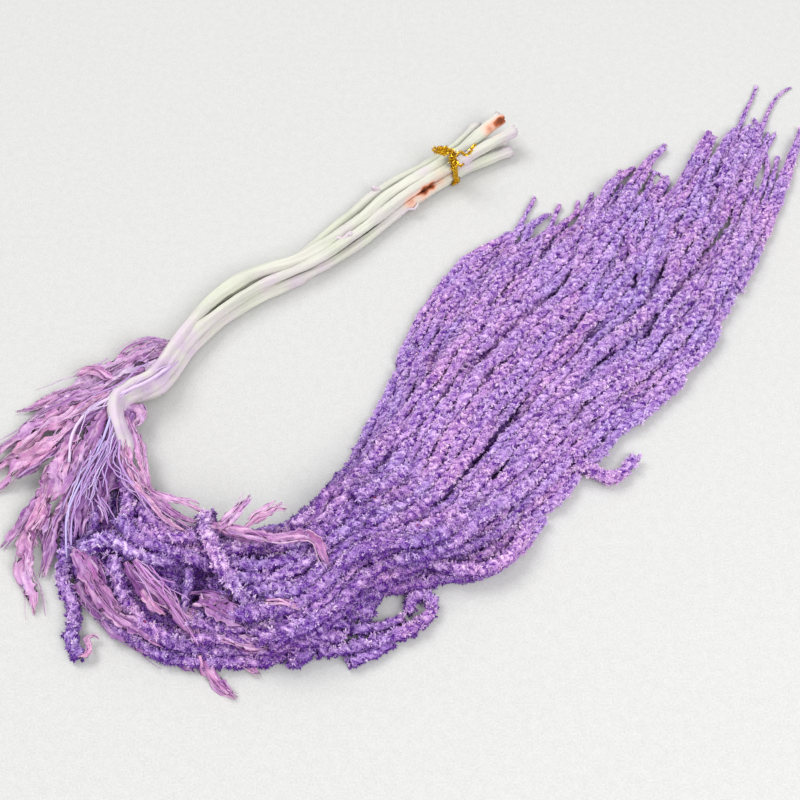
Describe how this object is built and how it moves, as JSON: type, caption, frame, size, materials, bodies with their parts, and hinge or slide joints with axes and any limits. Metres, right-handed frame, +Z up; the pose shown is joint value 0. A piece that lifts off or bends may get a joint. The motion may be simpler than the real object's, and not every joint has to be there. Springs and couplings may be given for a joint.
{
  "type": "dried amaranth bunch",
  "caption": "Tied bunch of dried hanging amaranth lying flat: pale stems bend over into long lilac flower tassels that spread like a fan.",
  "frame": {"origin": "under the middle of the bounding box, level with the surface the bunch lies on", "axes": "+Z up from the surface; +X and +Y across it as the picture is seen from the front, +X to its right and +Y to its back; the fan of tassel tips points to +X and +Y"},
  "size_m": [0.4348, 0.3772, 0.0357],
  "materials": {
    "tassel_lilac": "matt, granular, pinkish lilac",
    "tassel_lavender": "matt, granular, bluish lavender",
    "leaf": "matt, crumpled, pink lilac",
    "stem": "matt, ridged, bleached ivory",
    "stalk": "matt, bluish white",
    "tie": "glittering gold tinsel"
  },
  "bodies": {
    "root": {"tassel_collar_lower_1": "tassel_lilac", "tassel_collar_lower_2": "tassel_lavender", "tassel_collar_lower_3": "tassel_lilac", "tassel_bend_lower_1": "tassel_lilac", "tassel_bend_lower_2": "tassel_lavender", "tassel_bend_lower_3": "tassel_lilac", "tassel_bend_middle_1": "tassel_lilac", "tassel_bend_middle_2": "tassel_lavender", "tassel_bend_middle_3": "tassel_lilac", "tassel_collar_upper_1": "tassel_lilac", "tassel_collar_upper_2": "tassel_lavender", "tassel_collar_upper_3": "tassel_lilac", "tassel_bend_upper_1": "tassel_lilac", "tassel_bend_upper_2": "tassel_lavender", "tassel_bend_upper_3": "tassel_lilac", "tassel_fan_lower_1": "tassel_lilac", "tassel_fan_lower_2": "tassel_lavender", "tassel_fan_lower_3": "tassel_lilac", "tassel_fan_lower_4": "tassel_lavender", "tassel_fan_lower_5": "tassel_lilac", "tassel_fan_lower_6": "tassel_lavender", "tassel_fan_middle_1": "tassel_lilac", "tassel_fan_middle_2": "tassel_lavender", "tassel_fan_middle_3": "tassel_lilac", "tassel_fan_middle_4": "tassel_lavender", "tassel_fan_middle_5": "tassel_lilac", "tassel_fan_upper_1": "tassel_lilac", "tassel_fan_upper_2": "tassel_lavender", "tassel_fan_upper_3": "tassel_lilac", "tassel_fan_upper_4": "tassel_lavender", "tassel_fan_upper_5": "tassel_lilac", "loose_strand_hook": "tassel_lavender", "loose_strand_short": "tassel_lavender", "loose_strand_hanging": "tassel_lavender", "loose_strand_stub": "tassel_lavender", "loose_strand_tip": "tassel_lavender", "stem_1": "stem", "stem_2": "stem", "stem_3": "stem", "stem_4": "stem", "stem_5": "stem", "leaf_outer_1": "leaf", "leaf_outer_2": "leaf", "leaf_outer_3": "leaf", "leaf_outer_4": "leaf", "leaf_outer_5": "leaf", "leaf_outer_6": "leaf", "leaf_outer_7": "leaf", "leaf_inner_1": "leaf", "leaf_top_1": "leaf", "leaf_top_2": "leaf", "leaf_top_3": "leaf", "leaf_top_4": "leaf", "leaf_edge_1": "leaf", "leaf_edge_2": "leaf", "stalk_1": "stalk", "stalk_2": "stalk", "twist_tie": "tie"}
  },
  "joints": []
}
